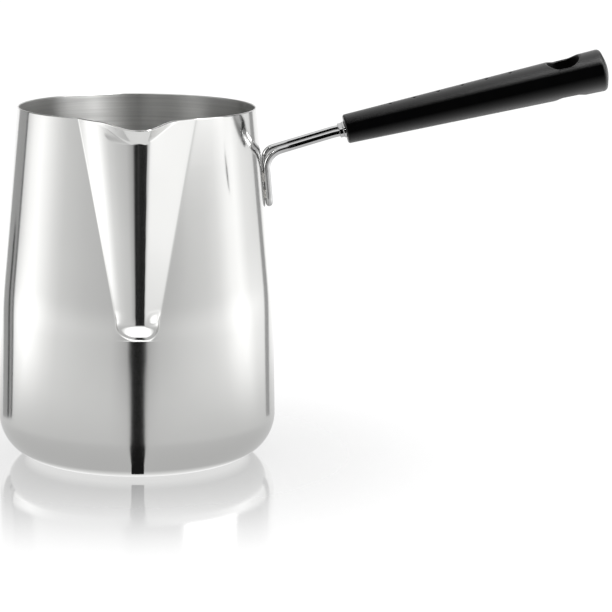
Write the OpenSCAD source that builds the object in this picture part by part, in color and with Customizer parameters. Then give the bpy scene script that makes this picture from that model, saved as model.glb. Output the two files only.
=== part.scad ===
// Melting and pouring pot for candle wax, about one litre.
// A drawn steel pot with a pressed pouring spout, a bent wire handle that is welded to its side,
// and a moulded grip closed by a steel ferrule.
// Origin: centre of the base, on the table. +Z up, the spout points to -Y, the handle to +X.

/* [Pot] */
// Height of the rim above the table
pot_h = 135; // [125:1:145]
// Outside diameter at the rim
rim_d = 90.8; // [89:0.2:93]
// Outside diameter where the side bends inwards
belly_d = 105; // [103:0.5:107]
// Height of that bend
belly_z = 62; // [56:1:66]
// Outside diameter just above the rounded foot
foot_d = 106.8; // [106:0.2:109]
// Radius of the rounded foot
foot_r = 16; // [12:0.5:18]
// Thickness of the steel sheet
wall = 0.7; // [0.6:0.1:1]

/* [Spout] */
// Radius of the spout's half-round section at the rim
mouth_r = 22.2; // [21.5:0.1:23]
// Distance of that section's centre from the pot's axis
mouth_y = 33.9; // [33.4:0.1:34.4]
// Radius of the rounded nose at the spout's lower end
nose_r = 9.2; // [8.9:0.1:9.6]
// Distance of the nose's centre from the pot's axis
nose_y = 47.1; // [46.8:0.1:47.4]
// Height of the nose's centre
nose_z = 62.5; // [60:0.5:66]

/* [Pouring lip] */
// Height of the curled lip at the spout's tip
lip_h = 8.5; // [7:0.1:9]
// Radius of the curl where it leaves the spout
lip_r = 9; // [8.8:0.1:9.2]
// Distance of the curl's centre from the pot's axis
lip_y = 47.3; // [47.1:0.1:47.5]
// Angle of the curl from upright
lip_flare = 36; // [30:1:40]
// Angle by which the rim falls towards the tip of the spout
rim_fall = 13.6; // [0:0.1:16]
// Distance from the pot's axis at which the rim starts to fall
rim_fall_y = 54; // [50:0.5:56]

/* [Wire handle] */
// Diameter of the wire
wire_d = 2.8; // [2.4:0.1:3]
// Distance between the two strands
strand_gap = 5; // [4.6:0.1:5.2]
// Height of the lowest point of the wire loop
loop_z = 96.4; // [92:0.2:100]
// Angle at which the strands rise towards the ferrule
rod_pitch = 17; // [14:0.5:19]
// Bend radius of the strand on the spout's side
front_bend_r = 7.5; // [4:0.5:9]
// Bend radius of the strand on the far side
rear_bend_r = 4; // [3.5:0.5:9]

/* [Grip] */
// Distance of the grip's small end from the pot's axis
grip_x = 79.5; // [78:0.5:84]
// Height of the centre of the small end
grip_z = 126.4; // [125:0.2:128]
// Angle at which the grip rises
grip_pitch = 13.3; // [10:0.1:15]
// Angle by which the handle is turned about its own axis, towards the spout
grip_roll = 12; // [0:1:15]
// Length of the grip, without its domed end
grip_l = 102; // [98:1:120]
// Radius of the grip at its small end
grip_r1 = 5.65; // [5.6:0.05:6.5]
// Radius of the grip at its large end
grip_r2 = 8.15; // [8:0.05:9]
// Length of the hole for hanging the pot up
hole_l = 12.8; // [10:0.2:14]
// Width of that hole
hole_w = 9.2; // [7:0.2:10]
// Distance of the hole's centre from the small end
hole_u = 87.1; // [80:0.1:88]
// Number of finger dimples along the top of the grip
dimples = 6; // [0:1:6]
// Distance between two dimples
dimple_step = 9.5; // [7:0.5:9.5]

/* [Hidden] */

$fa = 4;
$fs = 0.5;

// Colours
steel = [0.80, 0.81, 0.82];
wire_steel = [0.72, 0.73, 0.74];
weld_steel = [0.55, 0.55, 0.56];
black_plastic = [0.07, 0.07, 0.07];

// Pot: the bend is spread over blend_h above and below belly_z, and the shapes run past the rim
// by over before the space above the rim, trim_h high, is cut away
blend_h = 8;
blend_steps = 6;
over = 6;
trim_h = 30;
side_slope = (belly_d - foot_d) / 2 / (belly_z - foot_r);
taper_slope = (rim_d - belly_d) / 2 / (pot_h - belly_z);
taper = -atan(taper_slope);
side_heights = concat([foot_r], [for (i = [0:blend_steps]) belly_z + blend_h * (2 * i / blend_steps - 1)],
                      [pot_h + over]);

// Wire: spot_gap is left between the wire and the wall, and the weld beads fill it
wire_r = wire_d / 2;
lap = 0.2;
lap_step = 0.02;
spot_gap = 0.15;
strand_y = strand_gap / 2 * cos(grip_roll);
strand_lift = strand_gap / 2 * sin(grip_roll);
leg_z = loop_z + wire_r + strand_y;
leg_heading = 90 + taper;
kink_u = -5;
kink_r = 12;
socket_depth = 60;
socket_gap = 0.05;

// Weld beads: two on each leg, at these heights above the foot of the leg
bead_l = 3.2;
bead_r = 1.1;
bead_fn = 360;
bead_rises = [1.5, 8];

// Ferrule: an oval collar and its flange
flange_l = 1;
flange_r = 2.3;
collar_l = 1.6;
collar_r = 2;

// Grip: rounded edges, domed end and dimples
grip_edge_r1 = 0.9;
grip_edge_r2 = 1.6;
dome_h = 1.4;
arc_steps = 5;
dome_steps = 6;
dimple_u = 18.7;
dimple_r = 1.1;
dimple_depth = 0.5;

// Outside radius of the pot's side at height z
function wall_r(z) =
    let (low = foot_d / 2 + side_slope * (z - foot_r), rise = z - belly_z + blend_h)
    rise <= 0 ? low
    : rise < 2 * blend_h ? low + (taper_slope - side_slope) * rise * rise / (4 * blend_h)
    : belly_d / 2 + taper_slope * (z - belly_z);

// Half of the pot's section, moved inwards by inset
module pot_section(inset) {
    flat_r = foot_d / 2 - foot_r;
    translate([0, inset]) square([flat_r, foot_r - inset]);
    translate([flat_r, foot_r]) circle(foot_r - inset);
    polygon(concat([[0, foot_r]], [for (z = side_heights) [wall_r(z) - inset, z]], [[0, pot_h + over]]));
}

// The spout: a cone that widens upwards from a round nose, turned as one shape
module spout_form(inset) {
    run = [0, nose_y - mouth_y, pot_h - nose_z];
    stretch = 1 + 2 * over / norm(run);
    length = norm(run) * stretch;
    r1 = nose_r - inset;
    r2 = nose_r + (mouth_r - nose_r) * stretch - inset;
    translate([0, -nose_y, nose_z]) rotate([-atan2(run.y, run.z), 0, 0])
        rotate_extrude() {
            intersection() {
                circle(r1);
                translate([0, -r1]) square(r1);
            }
            polygon([[0, 0], [r1, 0], [r2, length], [0, length]]);
        }
}

// The curled lip: a short steep cone that shows only at the tip of the spout
module lip_form(inset) {
    h = lip_h + over;
    slant_inset = inset / cos(lip_flare);
    root_r = lip_r / 2;
    root_h = (lip_r - root_r) / tan(lip_flare);
    translate([0, -lip_y, pot_h - lip_h - root_h])
        cylinder(h = h + root_h, r1 = root_r - slant_inset,
                 r2 = lip_r + h * tan(lip_flare) - slant_inset);
}

module pot_form(inset) {
    rotate_extrude() pot_section(inset);
    spout_form(inset);
    lip_form(inset);
}

// Everything above the rim, which falls towards the tip of the spout
module above_rim() {
    translate([0, 0, pot_h]) cylinder(h = trim_h, r = belly_d);
    translate([0, -rim_fall_y, pot_h])
        rotate([rim_fall, 0, 0])
            translate([-rim_d, -rim_d, 0])
                cube([2 * rim_d, rim_d, trim_h]);
}

module pot_body() {
    color(steel)
        difference() {
            pot_form(0);
            pot_form(wall);
            above_rim();
        }
}

// Wire paths are drawn in the plane of one strand: x is away from the pot, y is up
function toward(a) = [cos(a), sin(a)];

// Distance of the wire's centre from the pot's axis at height z, along the pot's side
function leg_x(z) = wall_r(z) + (wire_r + spot_gap) / cos(taper);

// Point where the line through p at angle a meets the line through q at angle b
function crossing(p, a, q, b) =
    let (d = q - p, s = (d.x * sin(b) - d.y * cos(b)) / sin(b - a)) p + s * toward(a);

// A straight stretch from p to q, a hair thinner than the bends so that its ends sit inside them
module straight(p, q) {
    d = q - p;
    translate([p.x, p.y, 0]) rotate([0, 0, atan2(d.y, d.x)]) rotate([0, 90, 0])
        translate([0, 0, -lap]) cylinder(h = norm(d) + 2 * lap, r = wire_r - lap_step);
}

// A bend of radius r about a corner, from heading a down to heading b
module bend(corner, a, b, r) {
    centre = corner - r * tan((a - b) / 2) * toward(a) + r * toward(a - 90);
    translate([centre.x, centre.y, 0]) rotate([0, 0, b + 90])
        rotate_extrude(angle = a - b) translate([r, 0]) circle(wire_r);
}

// One strand: up the pot's side, out along the handle and into the grip.
// lift raises the strand above the handle's axis
module strand(lift, bend_r) {
    foot = [leg_x(leg_z), leg_z];
    end = [grip_x, grip_z] + socket_depth * toward(grip_pitch) + lift * toward(grip_pitch + 90);
    kink_on_axis = [grip_x, grip_z] + kink_u * toward(grip_pitch);
    on_rod = kink_on_axis + lift * toward(rod_pitch + 90);
    knee = crossing(foot, leg_heading, on_rod, rod_pitch);
    kink = crossing(on_rod, rod_pitch, end, grip_pitch);
    knee_run = bend_r * tan((leg_heading - rod_pitch) / 2);
    kink_run = kink_r * tan((rod_pitch - grip_pitch) / 2);
    straight(foot, knee - knee_run * toward(leg_heading));
    bend(knee, leg_heading, rod_pitch, bend_r);
    straight(knee + knee_run * toward(rod_pitch), kink - kink_run * toward(rod_pitch));
    bend(kink, rod_pitch, grip_pitch, kink_r);
    straight(kink + kink_run * toward(grip_pitch), end);
}

// The half ring that joins the two strands at the foot of the loop
module loop_foot() {
    translate([leg_x(leg_z), 0, leg_z])
        rotate([0, -leg_heading, 0]) rotate([0, 0, 90])
            rotate_extrude(angle = 180) translate([strand_y, 0]) circle(wire_r);
}

module wire_handle() {
    color(wire_steel) {
        translate([0, -strand_y, 0]) rotate([90, 0, 0]) strand(-strand_lift, front_bend_r);
        translate([0, strand_y, 0]) rotate([90, 0, 0]) strand(strand_lift, rear_bend_r);
        loop_foot();
    }
}

// A stretch of weld along the leg at height z, filling the groove between the wire and the wall
module weld_bead(z, y) {
    $fn = bead_fn;
    on_wall = wall_r(z) + spot_gap / 2;
    difference() {
        translate([on_wall, y, z]) rotate([0, -taper, 0])
            cylinder(h = bead_l, r = bead_r, center = true);
        translate([leg_x(leg_z), y, leg_z]) rotate([0, -taper, 0])
            cylinder(h = pot_h, r = wire_r, center = true);
        rotate_extrude() pot_section(0);
    }
}

module weld_beads() {
    color(weld_steel)
        for (rise = bead_rises, y = [-strand_y, strand_y]) weld_bead(leg_z + rise, y);
}

// The handle's own frame: x runs along the grip from its small end, z is its top
module on_handle() {
    translate([grip_x, 0, grip_z]) rotate([0, -grip_pitch, 0]) rotate([grip_roll, 0, 0]) children();
}

// Round passages for the two strands, from x0 to x1
module wire_passages(x0, x1) {
    for (y = [-strand_gap / 2, strand_gap / 2])
        translate([x0, y, 0]) rotate([0, 90, 0]) cylinder(h = x1 - x0, r = wire_r + socket_gap);
}

// A flat oval bar around both strands, with ends of radius r
module oval_bar(x0, x1, r) {
    translate([x0, 0, 0]) rotate([90, 0, 90]) linear_extrude(x1 - x0) {
        translate([-strand_gap / 2, -r]) square([strand_gap, 2 * r]);
        for (y = [-strand_gap / 2, strand_gap / 2]) translate([y, 0]) circle(r);
    }
}

module ferrule() {
    color(wire_steel)
        on_handle()
            difference() {
                union() {
                    oval_bar(-flange_l, 0, flange_r);
                    oval_bar(-flange_l - collar_l, -flange_l, collar_r);
                }
                wire_passages(-flange_l - collar_l - over, over);
            }
}

// Points of an arc of radius r about c, from angle a to angle b
function arc(c, r, a, b) = [for (i = [0:arc_steps]) c + r * toward(a + (b - a) * i / arc_steps)];

// Half of the grip's section: x is the radius, y runs along the grip
module grip_section() {
    rim_r = grip_r2 - grip_edge_r2;
    dome_r = (rim_r * rim_r + dome_h * dome_h) / (2 * dome_h);
    half_angle = asin(rim_r / dome_r);
    polygon(concat(
        [[0, 0]],
        arc([grip_r1 - grip_edge_r1, grip_edge_r1], grip_edge_r1, -90, 0),
        arc([rim_r, grip_l - grip_edge_r2], grip_edge_r2, 0, 90 - half_angle),
        [for (i = [1:dome_steps])
            [0, grip_l + dome_h - dome_r] + dome_r * toward(90 - half_angle * (1 - i / dome_steps))]
    ));
}

// The slotted hole for hanging the pot up
module hang_hole() {
    span = hole_l - hole_w;
    depth = 2 * (grip_r2 + over);
    for (x = [-span / 2, span / 2])
        translate([hole_u + x, 0, 0]) cylinder(h = depth, r = hole_w / 2, center = true);
    translate([hole_u, 0, 0]) cube([span, hole_w, depth], center = true);
}

module finger_dimples() {
    for (i = [0:1:dimples - 1]) {
        u = dimple_u + i * dimple_step;
        top = grip_r1 + (grip_r2 - grip_r1) * u / grip_l;
        translate([u, 0, top + dimple_r - dimple_depth]) sphere(dimple_r);
    }
}

module grip() {
    color(black_plastic)
        on_handle()
            difference() {
                rotate([0, 90, 0]) rotate_extrude() grip_section();
                wire_passages(-over, socket_depth + 2 * lap);
                hang_hole();
                finger_dimples();
            }
}

pot_body();
wire_handle();
weld_beads();
ferrule();
grip();
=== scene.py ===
import math

import bmesh
import bpy
import numpy as np
from mathutils import Matrix, Vector


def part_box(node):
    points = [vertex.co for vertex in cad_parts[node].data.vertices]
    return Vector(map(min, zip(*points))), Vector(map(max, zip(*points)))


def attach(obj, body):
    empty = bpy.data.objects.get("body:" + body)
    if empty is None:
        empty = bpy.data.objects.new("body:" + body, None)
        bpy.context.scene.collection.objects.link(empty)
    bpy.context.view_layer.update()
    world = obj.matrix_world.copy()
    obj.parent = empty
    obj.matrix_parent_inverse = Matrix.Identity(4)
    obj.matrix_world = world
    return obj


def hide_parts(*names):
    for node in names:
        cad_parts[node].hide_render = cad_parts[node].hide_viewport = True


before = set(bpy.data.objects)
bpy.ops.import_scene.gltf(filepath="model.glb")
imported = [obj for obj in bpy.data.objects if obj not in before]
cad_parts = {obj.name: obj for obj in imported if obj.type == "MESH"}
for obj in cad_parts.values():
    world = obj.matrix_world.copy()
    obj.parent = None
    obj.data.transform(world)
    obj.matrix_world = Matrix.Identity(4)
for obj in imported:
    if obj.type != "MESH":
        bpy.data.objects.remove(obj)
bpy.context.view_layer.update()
MM = 0.001

# ---------------------------------------------------------------- sizes, from the frame, in mm
pot_lo, pot_hi = (np.array(v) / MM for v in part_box("pot_body"))
wire_lo = np.array(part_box("wire_handle")[0]) / MM
POT_H = pot_hi[2]
FOOT_R = pot_hi[0]          # widest radius, just above the rounded foot
SPOUT_TIP = -pot_lo[1]      # how far the lip reaches from the axis
RIM_R = 0.8502 * FOOT_R
BELLY_R = 0.98315 * FOOT_R
BELLY_Z = 0.4593 * POT_H
CORNER_R = 16.0             # rounding of the foot
WALL = 0.7
BLEND = 8.0                 # the side's two tapers blend over this much above and below the belly


def smax(a, b, k):
    """The larger of a and b, rounded over about k."""
    return 0.5 * (a + b + np.sqrt((a - b) ** 2 + k * k))


# ---------------------------------------------------------------- pot
LOW_SLOPE = (BELLY_R - FOOT_R) / (BELLY_Z - CORNER_R)
TOP_SLOPE = (RIM_R - BELLY_R) / (POT_H - BELLY_Z)


def side_r(z):
    """Radius of the pot's side at height z, above the foot."""
    rise = np.clip(z - BELLY_Z + BLEND, 0, 2 * BLEND)
    low = FOOT_R + LOW_SLOPE * (z - CORNER_R)
    bent = (TOP_SLOPE - LOW_SLOPE) * rise * rise / (4 * BLEND)
    past = (TOP_SLOPE - LOW_SLOPE) * np.maximum(z - BELLY_Z - BLEND, 0)
    return low + bent + past


# The spout: its ridge stands upright and is a narrow band, off centre. The flank on the handle's
# side is nearly flat, the other one is round.
NOSE_Z = 62.5               # height of the nose, the spout's lower end
NOSE_EDGE = 60.3            # the nose's underside is bevelled from here down
NOSE_SLOPE = 0.70
CLOSING = 7.0               # the flanks turn round and close over this height, from a little above the nose
ABOVE_NOSE = 4.0
RIDGE_Y = 56.25
RIDGE_CROWN = 90.0          # the ridge's band is slightly crowned: it falls by the square of x over this
HALF_AT_NOSE = 8.0
SPREAD = 0.1858             # how much wider each half gets per mm of height
CREASE_R = 0.16             # rounding of the creases


def crease_x(z):
    return HALF_AT_NOSE + SPREAD * np.maximum(z - NOSE_Z, 0)


def bow(t, c):
    """0 at t = 0 and 1 at t = 1, starting level and turning over about c."""
    return (np.sqrt(t * t + c * c) - c) / (math.sqrt(1 + c * c) - c)


def spout_y(x, z):
    """Distance in front of the axis of the spout's outside at x, z."""
    zz = np.maximum(z, NOSE_Z)
    w = crease_x(zz)
    band = 2.6 + 0.020 * (zz - NOSE_Z)      # the ridge's band runs from x = 0 to here
    at_crease = np.sqrt(np.maximum(side_r(zz) ** 2 - w * w, 0))
    depth = RIDGE_Y - at_crease
    right = np.maximum((x - band) / (w - band), 0)
    left = np.maximum(-x / w, 0)
    fall = depth * (bow(right, 0.02) + 0.5 * left ** 2 + 0.5 * left ** 3)
    # towards the nose the section turns round, so that the flanks close in a U
    t = right + left
    u = np.clip(t, 0, 1)
    near = np.clip((NOSE_Z + ABOVE_NOSE - z) / CLOSING, 0, 1)
    near = near * near * (3 - 2 * near)
    closing = depth * (1 - np.sqrt(1 - u * u) + 2 * (t - u))
    fall = fall + (closing - fall) * near
    middle = band / 2
    fall = fall + np.clip(x - middle, -middle, middle) ** 2 / RIDGE_CROWN
    tuck = NOSE_SLOPE * smax(NOSE_EDGE - z, 0, 1.5)
    return RIDGE_Y - fall - tuck


LIP_X = 0.6                 # middle of the lip, and its half widths to the left and right
LIP_HALVES = (15.5, 14.0)
LIP_OUT = SPOUT_TIP - RIDGE_Y - 0.35    # how far it curls out, and how far its middle is pulled down
LIP_DROP = 2.3
LIP_BASE_Z = 118.0          # the lip's drop fades out down to here
CURL_HEIGHT = 4.9           # how far below the rim the lip starts to curl, at its middle
CURL_LEAST = 0.6
CURL_FROM_Y = 24.0          # the curl leans away from this far in front of the axis


def lip_bell(x):
    """1 at the middle of the lip, falling to 0 at its ends."""
    s = x - LIP_X
    half = np.where(s < 0, *LIP_HALVES)
    return 0.5 + 0.5 * np.cos(np.pi * np.clip(s / half, -1, 1))


TURN_Z = 54.0               # below this height the columns of the mesh run along meridians
BASE_RINGS = 18

# columns: x on the front as a share of the crease, then steps in mm outside it
share = np.concatenate([np.linspace(0, 0.9, 46), 0.9 + 0.1 * np.linspace(0, 1, 13)[1:]])
share = np.concatenate([-share[:0:-1], share])
step_out = np.concatenate([np.arange(1, 9) * 0.2, 1.6 + np.arange(1, 15) * 0.35])
side_n = 150


def columns(z):
    """Azimuth of the body's columns at height z, in order round the pot."""
    r = side_r(z)
    w = crease_x(z)
    x = np.concatenate([-(w + step_out)[::-1], share * w, w + step_out])
    psi = np.arcsin(np.clip(x / r, -1, 1))
    rest = np.linspace(psi[-1], 2 * np.pi + psi[0], side_n + 2)[1:-1]
    return np.concatenate([psi, rest])


n_front = len(share) + 2 * len(step_out)
n_col = n_front + side_n
turn_psi = columns(TURN_Z)


def outline(z):
    """One ring of the outside, at height z: arrays x, y and azimuth."""
    psi = turn_psi if z <= TURN_Z else columns(z)
    r = side_r(np.array(z))
    x, y = r * np.sin(psi), -r * np.cos(psi)
    if z > TURN_Z - 4:
        front = slice(0, n_front)
        y[front] = -smax(-y[front], spout_y(x[front], np.array(z, float)), CREASE_R)
    return x, y, psi


heights = np.concatenate([
    np.linspace(CORNER_R, 50, 36)[1:], np.linspace(50, 64, 71)[1:], np.linspace(64, LIP_BASE_Z, 91)[1:],
    np.linspace(LIP_BASE_Z, POT_H, 86)[1:]])

rings = []
flat_r = FOOT_R - CORNER_R
for r in np.linspace(0.5, flat_r, BASE_RINGS):
    rings.append(np.stack([r * np.sin(turn_psi), -r * np.cos(turn_psi), 0 * turn_psi], 1))
for a in np.linspace(0, 90, 46)[1:]:
    c, s = math.cos(math.radians(a)), math.sin(math.radians(a))
    r = flat_r + CORNER_R * s
    z = CORNER_R * (1 - c)
    rings.append(np.stack([r * np.sin(turn_psi), -r * np.cos(turn_psi), z + 0 * turn_psi], 1))
for z in heights:
    x, y, psi = outline(float(z))
    bell = np.where(np.cos(psi) > 0, lip_bell(x), 0.0) * (np.arange(n_col) < n_front)
    # the top is pulled down and curls outwards round the tip of the spout
    top = np.clip((z - LIP_BASE_Z) / (POT_H - LIP_BASE_Z), 0, 1)
    zr = z - LIP_DROP * bell * top
    rise = CURL_HEIGHT * np.clip(bell, 0.02, 1) ** 0.75 + CURL_LEAST
    s = np.clip((zr - (POT_H - LIP_DROP * bell - rise)) / rise, 0, 1)
    curl = LIP_OUT * bell * bow(s, 0.22)
    away_x, away_y = x, y + CURL_FROM_Y
    away = np.hypot(away_x, away_y) + 1e-9
    rings.append(np.stack([x + curl * away_x / away, y + curl * away_y / away, zr], 1))
outer = np.stack(rings)                                   # rows, columns, xyz


def grid_normals(g):
    """Outward normals of a grid of rings."""
    du = np.roll(g, -1, 1) - np.roll(g, 1, 1)
    dv = np.empty_like(g)
    dv[1:-1] = g[2:] - g[:-2]
    dv[0], dv[-1] = g[1] - g[0], g[-1] - g[-2]
    n = np.cross(du, dv)
    return n / (np.linalg.norm(n, axis=2, keepdims=True) + 1e-12)


inner = outer - WALL * grid_normals(outer)
inner[:BASE_RINGS, :, 2] = WALL
# rounded edge of the sheet at the rim
mid = (outer[-1] + inner[-1]) / 2
across = (outer[-1] - inner[-1]) / 2
up = outer[-1] - outer[-2]
up = up / np.linalg.norm(up, axis=1, keepdims=True)
edge = [mid + math.cos(a) * across + math.sin(a) * up * WALL / 2
        for a in np.radians([22, 45, 67, 90, 113, 135, 158])]
lift = max(0.0, max(e[:, 2].max() for e in edge) - POT_H)
grid = np.concatenate([outer, np.stack(edge), inner[::-1]])
grid[:, :, 2] -= lift * np.clip((grid[:, :, 2] - LIP_BASE_Z) / (POT_H - LIP_BASE_Z), 0, 1)


def make_object(name, vertices, faces, smooth=True):
    mesh = bpy.data.meshes.new(name)
    mesh.from_pydata([tuple(v) for v in vertices], [], faces)
    mesh.validate()
    if smooth:
        mesh.polygons.foreach_set("use_smooth", [True] * len(mesh.polygons))
    mesh.update()
    obj = bpy.data.objects.new(name, mesh)
    bpy.context.scene.collection.objects.link(obj)
    return obj


def face_outwards(obj, merge=None):
    """Turns all faces outwards, after joining vertices that are closer than merge."""
    mesh = bmesh.new()
    mesh.from_mesh(obj.data)
    if merge:
        bmesh.ops.remove_doubles(mesh, verts=mesh.verts, dist=merge)
    bmesh.ops.recalc_face_normals(mesh, faces=mesh.faces)
    mesh.to_mesh(obj.data)
    mesh.free()


def grid_faces(rows, cols):
    """Faces between closed rings of vertices."""
    faces = []
    for a in range(0, (rows - 1) * cols, cols):
        for j in range(cols):
            k = (j + 1) % cols
            faces.append((a + j, a + k, a + cols + k, a + cols + j))
    return faces


verts = grid.reshape(-1, 3) * MM
faces = grid_faces(len(grid), n_col)
n_wall = len(faces)
under = len(verts)          # the middle of the base, outside and then inside
within = under + 1
verts = np.vstack([verts, [[0, 0, 0], [0, 0, WALL * MM]]])
last = (len(grid) - 1) * n_col
for j in range(n_col):
    k = (j + 1) % n_col
    faces.append((under, k, j))
    faces.append((within, last + j, last + k))
pot = make_object("pot", verts, faces)
first_inside = (len(outer) + len(edge) // 2) * n_col


def is_inside(face):
    """Whether a face of the pot belongs to its inside, from the middle of the rim down."""
    if face.index < n_wall:
        return min(face.vertices) >= first_inside
    return within in face.vertices


inside_face = [int(is_inside(face)) for face in pot.data.polygons]

# ---------------------------------------------------------------- wire handle, as in the CAD
WR = 2.8 / 2                # radius of the wire
GAP = 5.0                   # between the centre lines of the two strands
ROLL, PITCH, ROD = (math.radians(a) for a in (12.0, 13.3, 17.0))
GRIP = np.array([79.5, 126.4])      # x and z of the grip's small end
STRAND_Y = GAP / 2 * math.cos(ROLL)
LIFT = GAP / 2 * math.sin(ROLL)
LEG_Z = wire_lo[2] + WR + STRAND_Y
TAPER = -math.atan(TOP_SLOPE)
LEG = math.pi / 2 + TAPER
STAND_OFF = 0.15            # clearance between the leg and the pot's side
KINK_R = 12.0


def toward(a):
    return np.array([math.cos(a), math.sin(a)])


def leg_x(z):
    return float(side_r(np.array(z))) + (WR + STAND_OFF) / math.cos(TAPER)


def crossing(p, a, q, b):
    """Where the line through p at angle a meets the line through q at angle b."""
    d = q - p
    return p + (d[0] * math.sin(b) - d[1] * math.cos(b)) / math.sin(b - a) * toward(a)


def strand(lift, bend_r, buried=7.0):
    """Centre line of one strand in its own plane, from the foot of the leg into the grip."""
    foot = np.array([leg_x(LEG_Z), LEG_Z])
    on_axis = GRIP - 5 * toward(PITCH)
    on_rod = on_axis + lift * toward(ROD + math.pi / 2)
    end = GRIP + buried * toward(PITCH) + lift * toward(PITCH + math.pi / 2)
    knee = crossing(foot, LEG, on_rod, ROD)
    kink = crossing(on_rod, ROD, end, PITCH)
    pts = [foot + (knee - bend_r * math.tan((LEG - ROD) / 2) * toward(LEG) - foot) * t
           for t in np.linspace(0, 1, 14)]
    for corner, a, b, r, n in ((knee, LEG, ROD, bend_r, 22), (kink, ROD, PITCH, KINK_R, 6)):
        centre = corner - r * math.tan((a - b) / 2) * toward(a) + r * toward(a - math.pi / 2)
        arc = [centre + r * toward(a + (b - a) * t + math.pi / 2) for t in np.linspace(0, 1, n)]
        pts += [pts[-1] + (arc[0] - pts[-1]) * t for t in (0.25, 0.5, 0.75)] + arc
    pts += [pts[-1] + (end - pts[-1]) * t for t in (0.25, 0.5, 0.75, 1)]
    return np.array(pts)


front = strand(-LIFT, 7.5)
rear = strand(LIFT, 4.0)
path = [(p[0], -STRAND_Y, p[1]) for p in front[::-1]]
for a in np.radians(np.linspace(0, 180, 30)[1:-1]):
    down = STRAND_Y * math.sin(a)
    path.append((leg_x(LEG_Z) - down * math.cos(LEG), -STRAND_Y * math.cos(a), LEG_Z - down * math.sin(LEG)))
path += [(p[0], STRAND_Y, p[1]) for p in rear]
path = np.array(path)
keep = np.concatenate([[True], np.linalg.norm(np.diff(path, axis=0), axis=1) > 1e-4])
path = path[keep]


def tube(name, centre, radius, sides=28):
    """A round bar swept along a centre line, with slightly pointed ends."""
    tangent = np.gradient(centre, axis=0)
    tangent /= np.linalg.norm(tangent, axis=1, keepdims=True)
    n = np.cross(tangent[0], [0, 1, 0])
    n /= np.linalg.norm(n)
    verts = []
    for p, t in zip(centre, tangent):
        n = n - (n @ t) * t
        n /= np.linalg.norm(n)
        b = np.cross(t, n)
        for k in range(sides):
            a = 2 * math.pi * k / sides
            verts.append(p + radius * (math.cos(a) * n + math.sin(a) * b))
    faces = grid_faces(len(centre), sides)
    for end, row, sign in ((0, 0, -1), (-1, len(centre) - 1, 1)):
        tip = len(verts)
        verts.append(centre[end] + sign * tangent[end] * radius * 0.3)
        for k in range(sides):
            a, b = row * sides + k, row * sides + (k + 1) % sides
            faces.append((tip, b, a) if sign < 0 else (tip, a, b))
    return make_object(name, np.array(verts) * MM, faces)


wire = tube("handle_wire", path, WR)

# ---------------------------------------------------------------- grip frame
RY = np.array([[math.cos(PITCH), 0, -math.sin(PITCH)], [0, 1, 0], [math.sin(PITCH), 0, math.cos(PITCH)]])
RX = np.array([[1, 0, 0], [0, math.cos(ROLL), -math.sin(ROLL)], [0, math.sin(ROLL), math.cos(ROLL)]])
TURN = RY @ RX
GRIP_AT = np.array([GRIP[0], 0, GRIP[1]])


def on_handle(points):
    return (GRIP_AT + np.asarray(points, float) @ TURN.T) * MM


# ---------------------------------------------------------------- ferrule: oval collar and flange
def oval(r, n=20):
    """Outline at a distance r from the line between the two strands' centres."""
    pts = []
    for side in (1, -1):
        for a in np.linspace(-90, 90, n):
            c, s = math.cos(math.radians(a)), math.sin(math.radians(a))
            pts.append((side * (GAP / 2 + r * c), side * r * s))
        for t in (0.25, 0.5, 0.75):
            pts.append((side * GAP / 2 * (1 - 2 * t), side * r))
    return pts


# outline of the pressing: place along the grip's axis and radius about each strand, collar first
PRESSING = [(-2.25, 1.1), (-2.55, 1.55), (-2.6, 1.8), (-2.52, 1.93), (-2.4, 1.99), (-2.2, 2.0), (-1.2, 2.0),
            (-1.08, 2.03), (-1.0, 2.12), (-0.93, 2.22), (-0.82, 2.28), (-0.7, 2.3), (-0.25, 2.3),
            (-0.1, 2.27), (-0.02, 2.2), (0.0, 2.1)]
fverts = [(u, y, z) for u, r in PRESSING for y, z in oval(r)]
m = len(oval(1))
last = (len(PRESSING) - 1) * m
ffaces = [tuple(reversed(f)) for f in grid_faces(len(PRESSING), m)]
tip = len(fverts)
fverts += [(PRESSING[0][0], 0, 0), (0, 0, 0)]
for j in range(m):
    k = (j + 1) % m
    ffaces.append((tip, j, k))
    ffaces.append((tip + 1, last + k, last + j))
ferrule = make_object("ferrule_pressing", on_handle(fverts), ffaces)

# ---------------------------------------------------------------- grip: u runs along its axis
GL, GR1, GR2, DOME = 102.0, 5.65, 8.15, 1.4             # length, radii at the ends, height of the domed end
E1, E2 = 0.9, 1.6                                       # rounding of the small and the large end
HOLE_L, HOLE_W, HOLE_U, FILLET = 12.8, 9.2, 87.1, 0.75  # hanging slot: length, width, place, rounded edge
DIMPLES = 18.7 + 9.5 * np.arange(6)
DIMPLE_R, DIMPLE_DEPTH = 1.0, 0.5


def grip_r(u):
    """Radius of the grip at u along its axis."""
    return GR1 + (GR2 - GR1) * (u - E1) / (GL - E2 - E1)


# the skin is left open in a window round the hole, on the upper and on the lower side
WINDOW = HOLE_L / 2 + 2.4
LO_U, HI_U = HOLE_U - WINDOW, HOLE_U + WINDOW
# rows along the grip, closest together where the dimples are
us = np.concatenate([
    np.linspace(E1, 16, 30)[:-1], np.linspace(16, 70, 217)[:-1], np.linspace(70, LO_U, 12)[:-1],
    np.linspace(LO_U, HI_U, 45)[:-1], np.linspace(HI_U, GL - E2, 8)])
# angles round the grip, from its top. The hole's window is the first and last n_win of each side
n_win, n_side = 15, 34
win = math.radians(42.0)
top_a = np.linspace(-win, win, 2 * n_win + 1)
side_a = np.linspace(win, math.pi - win, n_side + 1)
angles = np.concatenate([top_a, side_a[1:], math.pi + top_a[1:], math.pi + side_a[1:-1]])
n_ang = len(angles)


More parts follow.
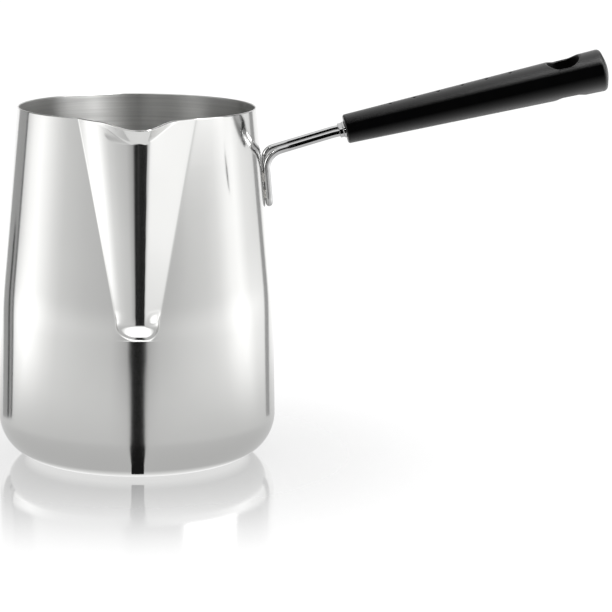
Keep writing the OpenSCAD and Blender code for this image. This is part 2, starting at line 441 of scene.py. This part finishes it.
def skin_point(u, a):
    """Point of the grip's skin at u along it and at angle a from its top, in a dimple or not."""
    r = grip_r(u)
    if math.cos(a) > 0:
        for d in DIMPLES:
            off = np.hypot(u - d, r * math.sin(a)) / DIMPLE_R
            if off < 1:
                r = r - DIMPLE_DEPTH * (0.5 + 0.5 * math.cos(math.pi * off)) ** 0.6
    return (u, -r * math.sin(a), r * math.cos(a))


gverts, gfaces = [], []
row_at = []


def add_row(points):
    row_at.append(len(gverts))
    gverts.extend(points)


def add_ring(u, r):
    add_row([(u, -r * math.sin(b), r * math.cos(b)) for b in angles])


# rounded small end, skin, rounded large end and its dome
for a in np.linspace(0, 1, 9)[:-1] * math.pi / 2:
    add_ring(E1 - E1 * math.cos(a), GR1 - E1 + E1 * math.sin(a))
first_u = len(row_at)
for u in us:
    add_row([skin_point(u, b) for b in angles])
rim_r = GR2 - E2
dome_r = (rim_r ** 2 + DOME ** 2) / (2 * DOME)
half = math.asin(rim_r / dome_r)
for a in np.linspace(0, 1, 11)[1:] * (math.pi / 2 - half):
    add_ring(GL - E2 + E2 * math.sin(a), rim_r + E2 * math.cos(a))
for a in np.linspace(1, 0, 9)[1:-1] * half:
    add_ring(GL + DOME - dome_r + dome_r * math.cos(a), dome_r * math.sin(a))
lo_row = first_u + int(np.argmin(np.abs(us - LO_U)))
hi_row = first_u + int(np.argmin(np.abs(us - HI_U)))
low_side = 2 * n_win + n_side      # column where the lower window starts
for i in range(len(row_at) - 1):
    for j in range(n_ang):
        in_hole = lo_row <= i < hi_row and (j < 2 * n_win or low_side <= j < low_side + 2 * n_win)
        if not in_hole:
            k = (j + 1) % n_ang
            gfaces.append((row_at[i] + j, row_at[i] + k, row_at[i + 1] + k, row_at[i + 1] + j))
tip = len(gverts)
gverts += [(0, 0, 0), (GL + DOME, 0, 0)]
for j in range(n_ang):
    k = (j + 1) % n_ang
    gfaces.append((tip, row_at[0] + k, row_at[0] + j))
    gfaces.append((tip + 1, row_at[-1] + j, row_at[-1] + k))


def slot_point(angle, grow):
    """Point on the slotted hole's outline, seen from its centre in a direction, grown outwards."""
    c, s = math.cos(angle), math.sin(angle)
    span, r = (HOLE_L - HOLE_W) / 2, HOLE_W / 2 + grow
    if abs(s) > 1e-9 and abs(c / s * r) <= span:
        t = r / abs(s)
    else:
        b = span * abs(c)
        t = b + math.sqrt(max(b * b - span * span + r * r, 0))
    return t * c, t * s


def hole_loop(lower):
    """The window's edge as a closed list of vertex numbers."""
    j0 = low_side if lower else 0
    j1 = j0 + 2 * n_win
    loop = [row_at[lo_row] + j % n_ang for j in range(j0, j1)]
    loop += [row_at[i] + j1 % n_ang for i in range(lo_row, hi_row)]
    loop += [row_at[hi_row] + j % n_ang for j in range(j1, j0, -1)]
    loop += [row_at[i] + j0 % n_ang for i in range(hi_row, lo_row, -1)]
    return loop


def join(ring, new):
    """Faces between two closed loops of vertex numbers."""
    for j in range(len(ring)):
        k = (j + 1) % len(ring)
        gfaces.append((ring[j], new[j], new[k], ring[k]))


rim_loops = []
hole_at = np.array([HOLE_U, 0])
for lower in (False, True):
    sign = -1 if lower else 1
    ring = hole_loop(lower)
    start = [np.array(gverts[v][:2]) for v in ring]
    dirs = [math.atan2(y, u - HOLE_U) for u, y in start]
    goal = [hole_at + slot_point(d, FILLET) for d in dirs]
    for t in (0.2, 0.4, 0.6, 0.78, 0.92, 1.0):
        new = []
        for s, g in zip(start, goal):
            p = s + (g - s) * t
            z = sign * math.sqrt(max(grip_r(p[0]) ** 2 - p[1] ** 2, 0.01))
            new.append(len(gverts))
            gverts.append((p[0], p[1], z))
        join(ring, new)
        ring = new
    # rounded edge of the hole
    for ang in np.linspace(0, 1, 7)[1:] * math.pi / 2:
        new = []
        for d, g in zip(dirs, goal):
            w = hole_at + slot_point(d, 0)
            p = g + (w - g) * math.sin(ang)
            zg = math.sqrt(max(grip_r(g[0]) ** 2 - g[1] ** 2, 0.01))
            slope = 0.35 * FILLET * math.sin(ang)
            z = sign * (zg + slope * abs(g[1]) / grip_r(g[0]) - FILLET * 1.15 * (1 - math.cos(ang)))
            new.append(len(gverts))
            gverts.append((p[0], p[1], z))
        join(ring, new)
        ring = new
    rim_loops.append((ring, dirs))
# wall of the hole: both loops are joined through common rings
(top_ring, top_dirs), (low_ring, low_dirs) = rim_loops
wall_rings = [top_ring]
for t in (0.2, 0.4, 0.6, 0.8):
    new = []
    for v in top_ring:
        x, y, z = gverts[v]
        new.append(len(gverts))
        gverts.append((x, y, z * (1 - 2 * t)))
    wall_rings.append(new)
for ring, new in zip(wall_rings, wall_rings[1:]):
    join(ring, new)
lowest = wall_rings[-1]
upper = [v for _, v in sorted(zip(top_dirs, lowest))]
lower = [v for _, v in sorted(zip(low_dirs, low_ring))]
for j in range(len(upper)):
    k = (j + 1) % len(upper)
    gfaces.append((upper[j], upper[k], lower[k], lower[j]))
grip = make_object("grip_moulding", on_handle(gverts), gfaces)
face_outwards(grip, merge=1e-7)
for obj in (pot, wire, ferrule):
    face_outwards(obj)


# ---------------------------------------------------------------- materials
COLOUR_A, COLOUR_B, COLOUR_OUT = 6, 7, 2    # a mix node's sockets for colours, which share their names


class Nodes:
    """A short way to build a node material."""

    def __init__(self, name):
        self.material = bpy.data.materials.new(name)
        self.material.use_nodes = True
        self.tree = self.material.node_tree
        self.shader = self.tree.nodes["Principled BSDF"]
        self.coords = self.add("ShaderNodeTexCoord")

    def add(self, kind, **values):
        node = self.tree.nodes.new(kind)
        for key, value in values.items():
            setattr(node, key, value)
        return node

    def link(self, a, out, b, into):
        self.tree.links.new(a.outputs[out], b.inputs[into])

    def set(self, **values):
        for key, value in values.items():
            self.shader.inputs[key.replace("_", " ")].default_value = value

    def stretched(self, scale, noise_scale, detail=3.0, rough=0.6):
        """Noise in object space, stretched by scale."""
        place = self.add("ShaderNodeMapping")
        place.inputs["Scale"].default_value = scale
        self.link(self.coords, "Object", place, "Vector")
        noise = self.add("ShaderNodeTexNoise")
        noise.inputs["Scale"].default_value = noise_scale
        noise.inputs["Detail"].default_value = detail
        noise.inputs["Roughness"].default_value = rough
        self.link(place, "Vector", noise, "Vector")
        return noise

    def vary(self, socket, source, out, low, high):
        """Drives one of the shader's sockets between low and high."""
        node = self.add("ShaderNodeMapRange")
        node.inputs["To Min"].default_value = low
        node.inputs["To Max"].default_value = high
        self.link(source, out, node, "Value")
        self.link(node, "Result", self.shader, socket)
        return node

    def colour(self, noise, dark, light):
        """Base colour that a noise takes from dark to light."""
        node = self.add("ShaderNodeMix", data_type="RGBA")
        node.inputs[COLOUR_A].default_value = (*dark, 1)
        node.inputs[COLOUR_B].default_value = (*light, 1)
        self.link(noise, "Fac", node, "Factor")
        self.link(node, COLOUR_OUT, self.shader, "Base Color")

    def bump(self, noise, strength, distance):
        node = self.add("ShaderNodeBump")
        node.inputs["Strength"].default_value = strength
        node.inputs["Distance"].default_value = distance
        self.link(noise, "Fac", node, "Height")
        self.link(node, "Normal", self.shader, "Normal")


def polished_steel():
    m = Nodes("polished_steel")
    m.set(Metallic=1.0)
    m.colour(m.stretched((1, 1, 1), 45, 4), (0.655, 0.655, 0.645), (0.69, 0.69, 0.68))
    lines = m.stretched((0.02, 0.02, 1), 5200, 2, 0.7)
    m.vary("Roughness", lines, "Fac", 0.085, 0.15)
    m.bump(lines, 0.05, 0.00001)
    return m.material


def brushed_steel():
    m = Nodes("brushed_inside")
    m.set(Metallic=1.0, Anisotropic=0.85, Anisotropic_Rotation=0.25)
    lines = m.stretched((0.012, 0.012, 1), 1100, 5, 0.8)
    m.colour(lines, (0.44, 0.44, 0.43), (0.86, 0.86, 0.85))
    m.vary("Roughness", lines, "Fac", 0.28, 0.44)
    m.bump(lines, 0.2, 0.00002)
    tangent = m.add("ShaderNodeTangent", direction_type="RADIAL", axis="Z")
    m.link(tangent, "Tangent", m.shader, "Tangent")
    return m.material


def bright_wire():
    m = Nodes("bright_wire")
    m.set(Metallic=1.0)
    fine = m.stretched((1, 1, 1), 900, 3)
    m.colour(fine, (0.52, 0.52, 0.52), (0.64, 0.64, 0.64))
    m.vary("Roughness", fine, "Fac", 0.05, 0.14)
    m.bump(fine, 0.03, 0.0002)
    return m.material


def weld_metal():
    m = Nodes("weld_metal")
    m.set(Metallic=1.0)
    ripple = m.stretched((1, 1, 3), 1500, 3)
    m.colour(ripple, (0.34, 0.33, 0.31), (0.58, 0.57, 0.55))
    m.vary("Roughness", ripple, "Fac", 0.3, 0.5)
    m.bump(ripple, 0.5, 0.0003)
    return m.material


def black_plastic():
    """Satin black plastic, whose sheen grows towards its edges."""
    m = Nodes("black_plastic")
    edge = m.add("ShaderNodeLayerWeight")
    edge.inputs["Blend"].default_value = 0.5
    sheen = m.vary("Specular IOR Level", edge, "Facing", 0.0, 1.7)
    sheen.inputs["From Min"].default_value = 0.035
    blotch = m.stretched((1, 1, 1), 160, 3)
    m.colour(blotch, (0.0008, 0.0008, 0.0009), (0.0022, 0.0022, 0.0023))
    m.vary("Roughness", blotch, "Fac", 0.34, 0.42)
    m.bump(m.stretched((1, 1, 1), 4200, 2, 0.5), 0.22, 0.0002)
    return m.material


steel_out, steel_in = polished_steel(), brushed_steel()
wire_metal, plastic, weld = bright_wire(), black_plastic(), weld_metal()
pot.data.materials.append(steel_out)
pot.data.materials.append(steel_in)
pot.data.polygons.foreach_set("material_index", inside_face)
wire.data.materials.append(wire_metal)
ferrule.data.materials.append(wire_metal)
grip.data.materials.append(plastic)
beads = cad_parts["weld_beads"]
beads.data.materials.clear()
beads.data.materials.append(weld)

for obj, node, slot in ((pot, "pot_body", "polished_steel"), (wire, "wire_handle", "bright_wire"),
                        (ferrule, "ferrule", "bright_wire"), (grip, "grip", "black_plastic")):
    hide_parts(node)
    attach(obj, "root")

# ---------------------------------------------------------------- studio
scene = bpy.context.scene


def stage_mesh(name, vertices, faces, material, mirrored_only=True):
    """A piece of the studio. Most of them are seen in mirroring surfaces only, and the floor is seen
    everywhere but there."""
    obj = make_object(name, vertices, faces, smooth=False)
    obj.data.materials.append(material)
    obj.visible_glossy = mirrored_only
    obj.visible_camera = obj.visible_diffuse = obj.visible_shadow = not mirrored_only
    obj.visible_transmission = False


def smooth_range(tree, source, start, end, low=0.0, high=1.0):
    """Goes smoothly from low to high as source goes from start to end."""
    node = tree.nodes.new("ShaderNodeMapRange")
    node.interpolation_type = "SMOOTHSTEP"
    for key, value in (("From Min", start), ("From Max", end), ("To Min", low), ("To Max", high)):
        node.inputs[key].default_value = value
    tree.links.new(source, node.inputs["Value"])
    return node.outputs["Result"]


def vector_size(tree, operation="LENGTH", point=None):
    """Distance in object space from the origin or, with DISTANCE, from a point."""
    place = tree.nodes.new("ShaderNodeTexCoord")
    node = tree.nodes.new("ShaderNodeVectorMath")
    node.operation = operation
    tree.links.new(place.outputs["Object"], node.inputs[0])
    if point:
        node.inputs[1].default_value = point
    return node.outputs["Value"]


def glow(name, strength, one_sided=False):
    """White light from a surface. A one-sided one is clear when it is seen from the back."""
    material = bpy.data.materials.new(name)
    material.use_nodes = True
    tree = material.node_tree
    tree.nodes.clear()
    out = tree.nodes.new("ShaderNodeOutputMaterial")
    light = tree.nodes.new("ShaderNodeEmission")
    light.inputs["Strength"].default_value = strength
    tree.links.new(light.outputs[0], out.inputs[0])
    if one_sided:
        side = tree.nodes.new("ShaderNodeNewGeometry")
        clear = tree.nodes.new("ShaderNodeBsdfTransparent")
        choice = tree.nodes.new("ShaderNodeMixShader")
        tree.links.new(side.outputs["Backfacing"], choice.inputs[0])
        tree.links.new(light.outputs[0], choice.inputs[1])
        tree.links.new(clear.outputs[0], choice.inputs[2])
        tree.links.new(choice.outputs[0], out.inputs[0])
    return material


def pale_floor():
    """Pale floor with some light of its own, which mirrors the pot faintly and only near it."""
    material = bpy.data.materials.new("pale_floor")
    material.use_nodes = True
    tree = material.node_tree
    tree.nodes.clear()
    out = tree.nodes.new("ShaderNodeOutputMaterial")
    pale = tree.nodes.new("ShaderNodeBsdfDiffuse")
    pale.inputs["Color"].default_value = (0.22, 0.22, 0.22, 1)
    lit = tree.nodes.new("ShaderNodeEmission")
    lit.inputs["Strength"].default_value = 0.82
    matt = tree.nodes.new("ShaderNodeAddShader")
    tree.links.new(pale.outputs[0], matt.inputs[0])
    tree.links.new(lit.outputs[0], matt.inputs[1])
    mirror = tree.nodes.new("ShaderNodeBsdfGlossy")
    mirror.inputs["Roughness"].default_value = 0.03
    mix = tree.nodes.new("ShaderNodeMixShader")
    tree.links.new(smooth_range(tree, vector_size(tree), 0.045, 0.160, 0.60, 0.0), mix.inputs[0])
    tree.links.new(matt.outputs[0], mix.inputs[1])
    tree.links.new(mirror.outputs[0], mix.inputs[2])
    tree.links.new(mix.outputs[0], out.inputs[0])
    return material


def square(half, z):
    return [(x * half, y * half, z) for x, y in ((-1, -1), (1, -1), (1, 1), (-1, 1))]


stage_mesh("floor", square(6.0, 0), [(0, 1, 2, 3)], pale_floor(), mirrored_only=False)

world = bpy.data.worlds.new("studio")
scene.world = world
world.use_nodes = True
background = world.node_tree.nodes["Background"]
background.inputs["Color"].default_value = (1, 1, 1, 1)
background.inputs["Strength"].default_value = 1.12

# what the steel sees round it, by azimuth: a dark gap in front where the studio is open, grey
# cards beside it, a softbox on each side with a dark gap behind it, and white beyond
AROUND = [
    (-180, 1.22), (-130, 1.22), (-121, 1.05), (-110, 1.45), (-98, 1.65), (-86, 1.35), (-76, 1.08),
    (-66, 0.90), (-45, 0.78), (-20, 0.70), (-7, 0.48), (-5.0, 0.015), (5.0, 0.015), (7, 0.50), (16, 0.66),
    (40, 0.82), (60, 0.93), (72, 1.08), (85, 1.42), (96, 1.55), (108, 1.22), (130, 1.05), (150, 1.22),
    (180, 1.22)]
# how bright the floor looks in the steel at a distance from the pot's axis; the dip from just outside the
# foot out to about 0.3 m is a painted shadow of the pot on the floor
OUTWARD = [(0.0, 1.1), (0.042, 1.1), (0.046, 0.62), (0.085, 0.68), (0.145, 0.80), (0.21, 0.95), (0.27, 1.03),
           (0.36, 1.08), (0.50, 1.14), (0.75, 1.06), (1.20, 0.96)]
# what the steel sees higher up: open and dark in front, a bright card on the right, grey on the left
ABOVE = [(-180, 0.9), (-130, 0.05), (-100, 0.05), (-92, 0.7), (-14, 0.6), (-9, 0.01), (36, 0.01), (42, 4.0),
         (84, 4.0), (92, 0.1), (125, 0.1), (150, 0.9), (180, 0.9)]
BRIGHTEST = 4.0


def ramp_node(tree, stops, source, top):
    """A ramp through stops (place, value), driven by source from 0 at the first to 1 at the last.
    Its values are given as shares of top."""
    ramp = tree.nodes.new("ShaderNodeValToRGB")
    elements = ramp.color_ramp.elements
    first, last = stops[0], stops[-1]
    for element, (_, value) in ((elements[0], first), (elements[1], last)):
        element.color = (value / top, value / top, value / top, 1)
    for place, value in stops[1:-1]:
        share = (place - first[0]) / (last[0] - first[0])
        elements.new(share).color = (value / top, value / top, value / top, 1)
    tree.links.new(source, ramp.inputs[0])
    return ramp.outputs["Color"]


def math_node(tree, operation, a, b):
    """A calculation with two values, each of which is a number or another node's output."""
    node = tree.nodes.new("ShaderNodeMath")
    node.operation = operation
    for i, value in enumerate((a, b)):
        if isinstance(value, float):
            node.inputs[i].default_value = value
        else:
            tree.links.new(value, node.inputs[i])
    return node.outputs[0]


def surroundings(name, gain, outward=None, above=None):
    """A glow that follows AROUND by azimuth. A list given as above takes over higher up, and one
    given as outward dims or brightens it by distance from the pot's axis."""
    material = glow(name, 1.0)
    tree = material.node_tree
    place = tree.nodes.new("ShaderNodeTexCoord")
    split = tree.nodes.new("ShaderNodeSeparateXYZ")
    tree.links.new(place.outputs["Object"], split.inputs[0])
    back = math_node(tree, "MULTIPLY", split.outputs["Y"], -1.0)
    azimuth = math_node(tree, "ARCTAN2", split.outputs["X"], back)
    share = math_node(tree, "ADD", math_node(tree, "DIVIDE", azimuth, 2 * math.pi), 0.5)
    level = math_node(tree, "MULTIPLY", ramp_node(tree, AROUND, share, BRIGHTEST), BRIGHTEST * gain)
    if above:
        high = math_node(tree, "MULTIPLY", ramp_node(tree, above, share, BRIGHTEST), BRIGHTEST)
        rise = smooth_range(tree, split.outputs["Z"], 0.12, 0.45)
        more = math_node(tree, "SUBTRACT", high, level)
        level = math_node(tree, "ADD", level, math_node(tree, "MULTIPLY", more, rise))
    if outward:
        distance = vector_size(tree)
        reach = math_node(tree, "DIVIDE", distance, outward[-1][0])
        fall = math_node(tree, "MULTIPLY", ramp_node(tree, outward, reach, 2.0), 2.0)
        # close to the pot the floor looks the same all round
        swing = math_node(tree, "SUBTRACT", level, 1.0)
        swing = math_node(tree, "MULTIPLY", swing, smooth_range(tree, distance, 0.058, 0.360))
        level = math_node(tree, "MULTIPLY", math_node(tree, "ADD", swing, 1.0), fall)
    tree.links.new(level, tree.nodes["Emission"].inputs["Strength"])
    return material


def ring_wall(name, radius, z0, z1, material, steps=96):
    vertices, faces = [], []
    for i in range(steps):
        a = 2 * math.pi * i / steps
        vertices += [(radius * math.cos(a), radius * math.sin(a), z) for z in (z0, z1)]
    for i in range(steps):
        j = (i + 1) % steps
        faces.append((2 * i, 2 * j, 2 * j + 1, 2 * i + 1))
    stage_mesh(name, vertices, faces, material)


ring_wall("studio_wall", 1.2, 0.0, 2.0, surroundings("wall_glow", 0.95, above=ABOVE))
stage_mesh("studio_table", square(1.2, -0.0006), [(0, 1, 2, 3)],
           surroundings("table_glow", 1.0, outward=OUTWARD))

# the dark gap in front also lies on the floor, right up to the pot: distance and half width
STRIP = ((0.044, 0.0024), (0.0525, 0.0028), (0.09, 0.0071), (0.29, 0.0245), (0.315, 0.038), (0.345, 0.045),
         (0.36, 0.0305), (1.2, 0.1))
edges = [(x, -r, -0.0003) for r, half in STRIP for x in (-half, half)]
rungs = [(2 * i, 2 * i + 1, 2 * i + 3, 2 * i + 2) for i in range(len(STRIP) - 1)]
stage_mesh("dark_strip", edges, rungs, glow("dark_strip_glow", 0.012))


def soft_card(name, start, left, right, length, tilt, core, spread, bright, edge):
    """A small reflector that leads away from the pot, edge-on to its side. It is bright over its
    core and fades towards its edge's level over its spread."""
    corners = [(x, start[1] - d, start[2] - d * tilt) for x in (left, right) for d in (0.0, length)]
    material = glow(name + "_glow", 1.0, one_sided=True)
    tree = material.node_tree
    middle = (start[0], start[1] - core, start[2] - core * tilt)
    away = vector_size(tree, "DISTANCE", middle)
    level = smooth_range(tree, away, core, spread, bright, edge)
    tree.links.new(level, tree.nodes["Emission"].inputs["Strength"])
    stage_mesh(name, corners, [(0, 1, 3, 2)], material)


soft_card("nose_card", (0.0, -(FOOT_R + 0.3) * MM, 0.0543), -0.0105, 0.0105, length=0.018, tilt=0.182,
          core=0.0045, spread=0.0125, bright=1.9, edge=0.66)
soft_card("lip_card", (0.0015, -(RIDGE_Y + 0.4) * MM, 0.1272), -0.034, 0.036, length=0.026, tilt=0.130,
          core=0.005, spread=0.030, bright=0.98, edge=0.60)

# a dark flag bent round the front of the wire
along = np.array([math.cos(ROD), 0.0, math.sin(ROD)])
upward = np.array([-math.sin(ROD), 0.0, math.cos(ROD)])
forward = np.array([0.0, -1.0, 0.0])
middle = np.array([0.071, 0.0, 0.119])
FLAG_R, FLAG_STEPS = 0.035, 12
flag = [middle + along * t + FLAG_R * (math.sin(a) * upward + math.cos(a) * forward)
        for a in np.radians(np.linspace(-18, 76, FLAG_STEPS + 1)) for t in (-0.012, 0.020)]
stage_mesh("wire_flag", flag, [(2 * i, 2 * i + 2, 2 * i + 3, 2 * i + 1) for i in range(FLAG_STEPS)],
           glow("wire_flag_glow", 0.0, one_sided=True))


def gap(name, side, a0, a1, strength, drop):
    """A dark gap seen at the pot's edge: a wedge on the floor and an upright card, between two azimuths."""
    start = (side * 0.0495, -0.018)

    def at(reach, a, z):
        a = math.radians(side * a)
        return start[0] + reach * math.sin(a), start[1] - reach * math.cos(a), z

    near, far, top = 0.08, 1.0, 0.4
    points = [at(near, a0, -drop), at(near, a1, -drop), at(far, a1, -drop), at(far, a0, -drop),
              at(far, a0, top), at(far, a1, top)]
    stage_mesh(name, points, [(0, 1, 2, 3), (3, 2, 5, 4)], glow(name + "_glow", strength))


gap("gap_left", -1, 128.2, 151.5, 0.42, 0.0005)
gap("gap_left_outer", -1, 133.7, 137.3, 0.0, 0.0004)
gap("gap_left_inner", -1, 125.6, 128.4, 0.0, 0.0004)
gap("gap_right", 1, 134.8, 145.5, 0.40, 0.0005)

# a strip light above the grip
strip = [(x, y, 0.45) for x in (0.125, 0.32) for y in (-0.30, -0.12)]
stage_mesh("grip_light", strip, [(0, 1, 3, 2)], glow("grip_light_glow", 24.0))

# ---------------------------------------------------------------- camera
# it stands in front, well above the rim, and looks a little down and towards the grip
YAW, DOWN, TILT = (math.radians(a) for a in (4.149, 11.199, 0.738))
camera_data = bpy.data.cameras.new("camera")
camera = bpy.data.objects.new("camera", camera_data)
scene.collection.objects.link(camera)
camera_data.sensor_width = 36
camera_data.lens = 139.27
ahead = Vector((math.sin(YAW) * math.cos(DOWN), math.cos(YAW) * math.cos(DOWN), -math.sin(DOWN)))
level = ahead.cross(Vector((0, 0, 1))).normalized()
upright = level.cross(ahead)
turn = np.eye(4)
turn[:3, 0] = level * math.cos(TILT) + upright * math.sin(TILT)
turn[:3, 1] = upright * math.cos(TILT) - level * math.sin(TILT)
turn[:3, 2] = -ahead
turn[:3, 3] = Vector((0, -6.667, 1.748)) * POT_H * MM
camera.matrix_world = Matrix(turn.tolist())
scene.camera = camera
scene.view_settings.view_transform = "Standard"
scene.view_settings.look = "None"
